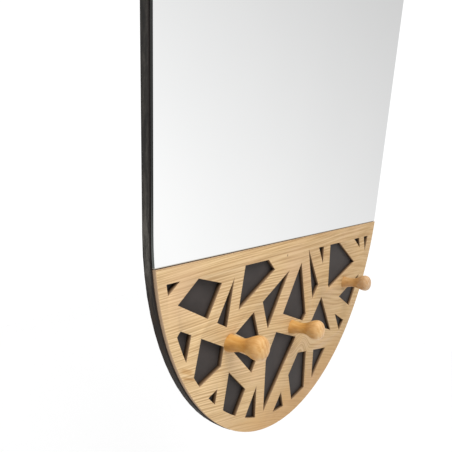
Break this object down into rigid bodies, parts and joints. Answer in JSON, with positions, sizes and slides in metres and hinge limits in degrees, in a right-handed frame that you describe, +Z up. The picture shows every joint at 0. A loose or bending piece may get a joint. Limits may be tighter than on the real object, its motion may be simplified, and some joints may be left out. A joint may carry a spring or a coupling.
{
  "type": "wall mirror with hooks",
  "caption": "Tall stadium-shaped wall mirror on a black board, with an oak fretwork panel and three turned pegs at the bottom and two D-ring hangers at the back.",
  "frame": {"origin": "on the plane of the wall, behind the middle of the board's width and height", "axes": "+X to the right as seen from the front, +Y towards the wall, +Z up along the long side"},
  "size_m": [0.45, 0.0504, 0.8998],
  "materials": {
    "black_board": "satin black stain on fibreboard",
    "mirror": "polished, silvered at the back",
    "foam_tape": "matte foam",
    "oak": "matte oak veneer, grain across",
    "lacquered_wood": "glossy clear lacquer",
    "zinc": "zinc plated",
    "brass_plate": "brass plated steel",
    "rubber": "matte"
  },
  "bodies": {
    "mirror": {"back_board": "black_board", "mirror_glass": "mirror", "left_outer_tape": "foam_tape", "left_inner_tape": "foam_tape", "right_inner_tape": "foam_tape", "right_outer_tape": "foam_tape", "fretwork_panel": "oak", "left_peg": "lacquered_wood", "middle_peg": "lacquered_wood", "right_peg": "lacquered_wood", "left_peg_screw": "zinc", "middle_peg_screw": "zinc", "right_peg_screw": "zinc", "left_hanger_strap": "brass_plate", "right_hanger_strap": "brass_plate", "left_hanger_screws": "zinc", "right_hanger_screws": "zinc", "upper_left_bumper": "rubber", "upper_right_bumper": "rubber", "lower_left_bumper": "rubber", "lower_right_bumper": "rubber"},
    "left_ring": {"left_hanger_ring": "brass_plate"},
    "right_ring": {"right_hanger_ring": "brass_plate"}
  },
  "joints": [
    {"name": "left_ring_hinge", "type": "hinge", "parent": "mirror", "child": "left_ring", "pos_m": [-0.15, -0.003, 0.215], "axis": [1, 0, 0], "range_deg": [0, 180]},
    {"name": "right_ring_hinge", "type": "hinge", "parent": "mirror", "child": "right_ring", "pos_m": [0.15, -0.003, 0.215], "axis": [1, 0, 0], "range_deg": [0, 180]}
  ]
}
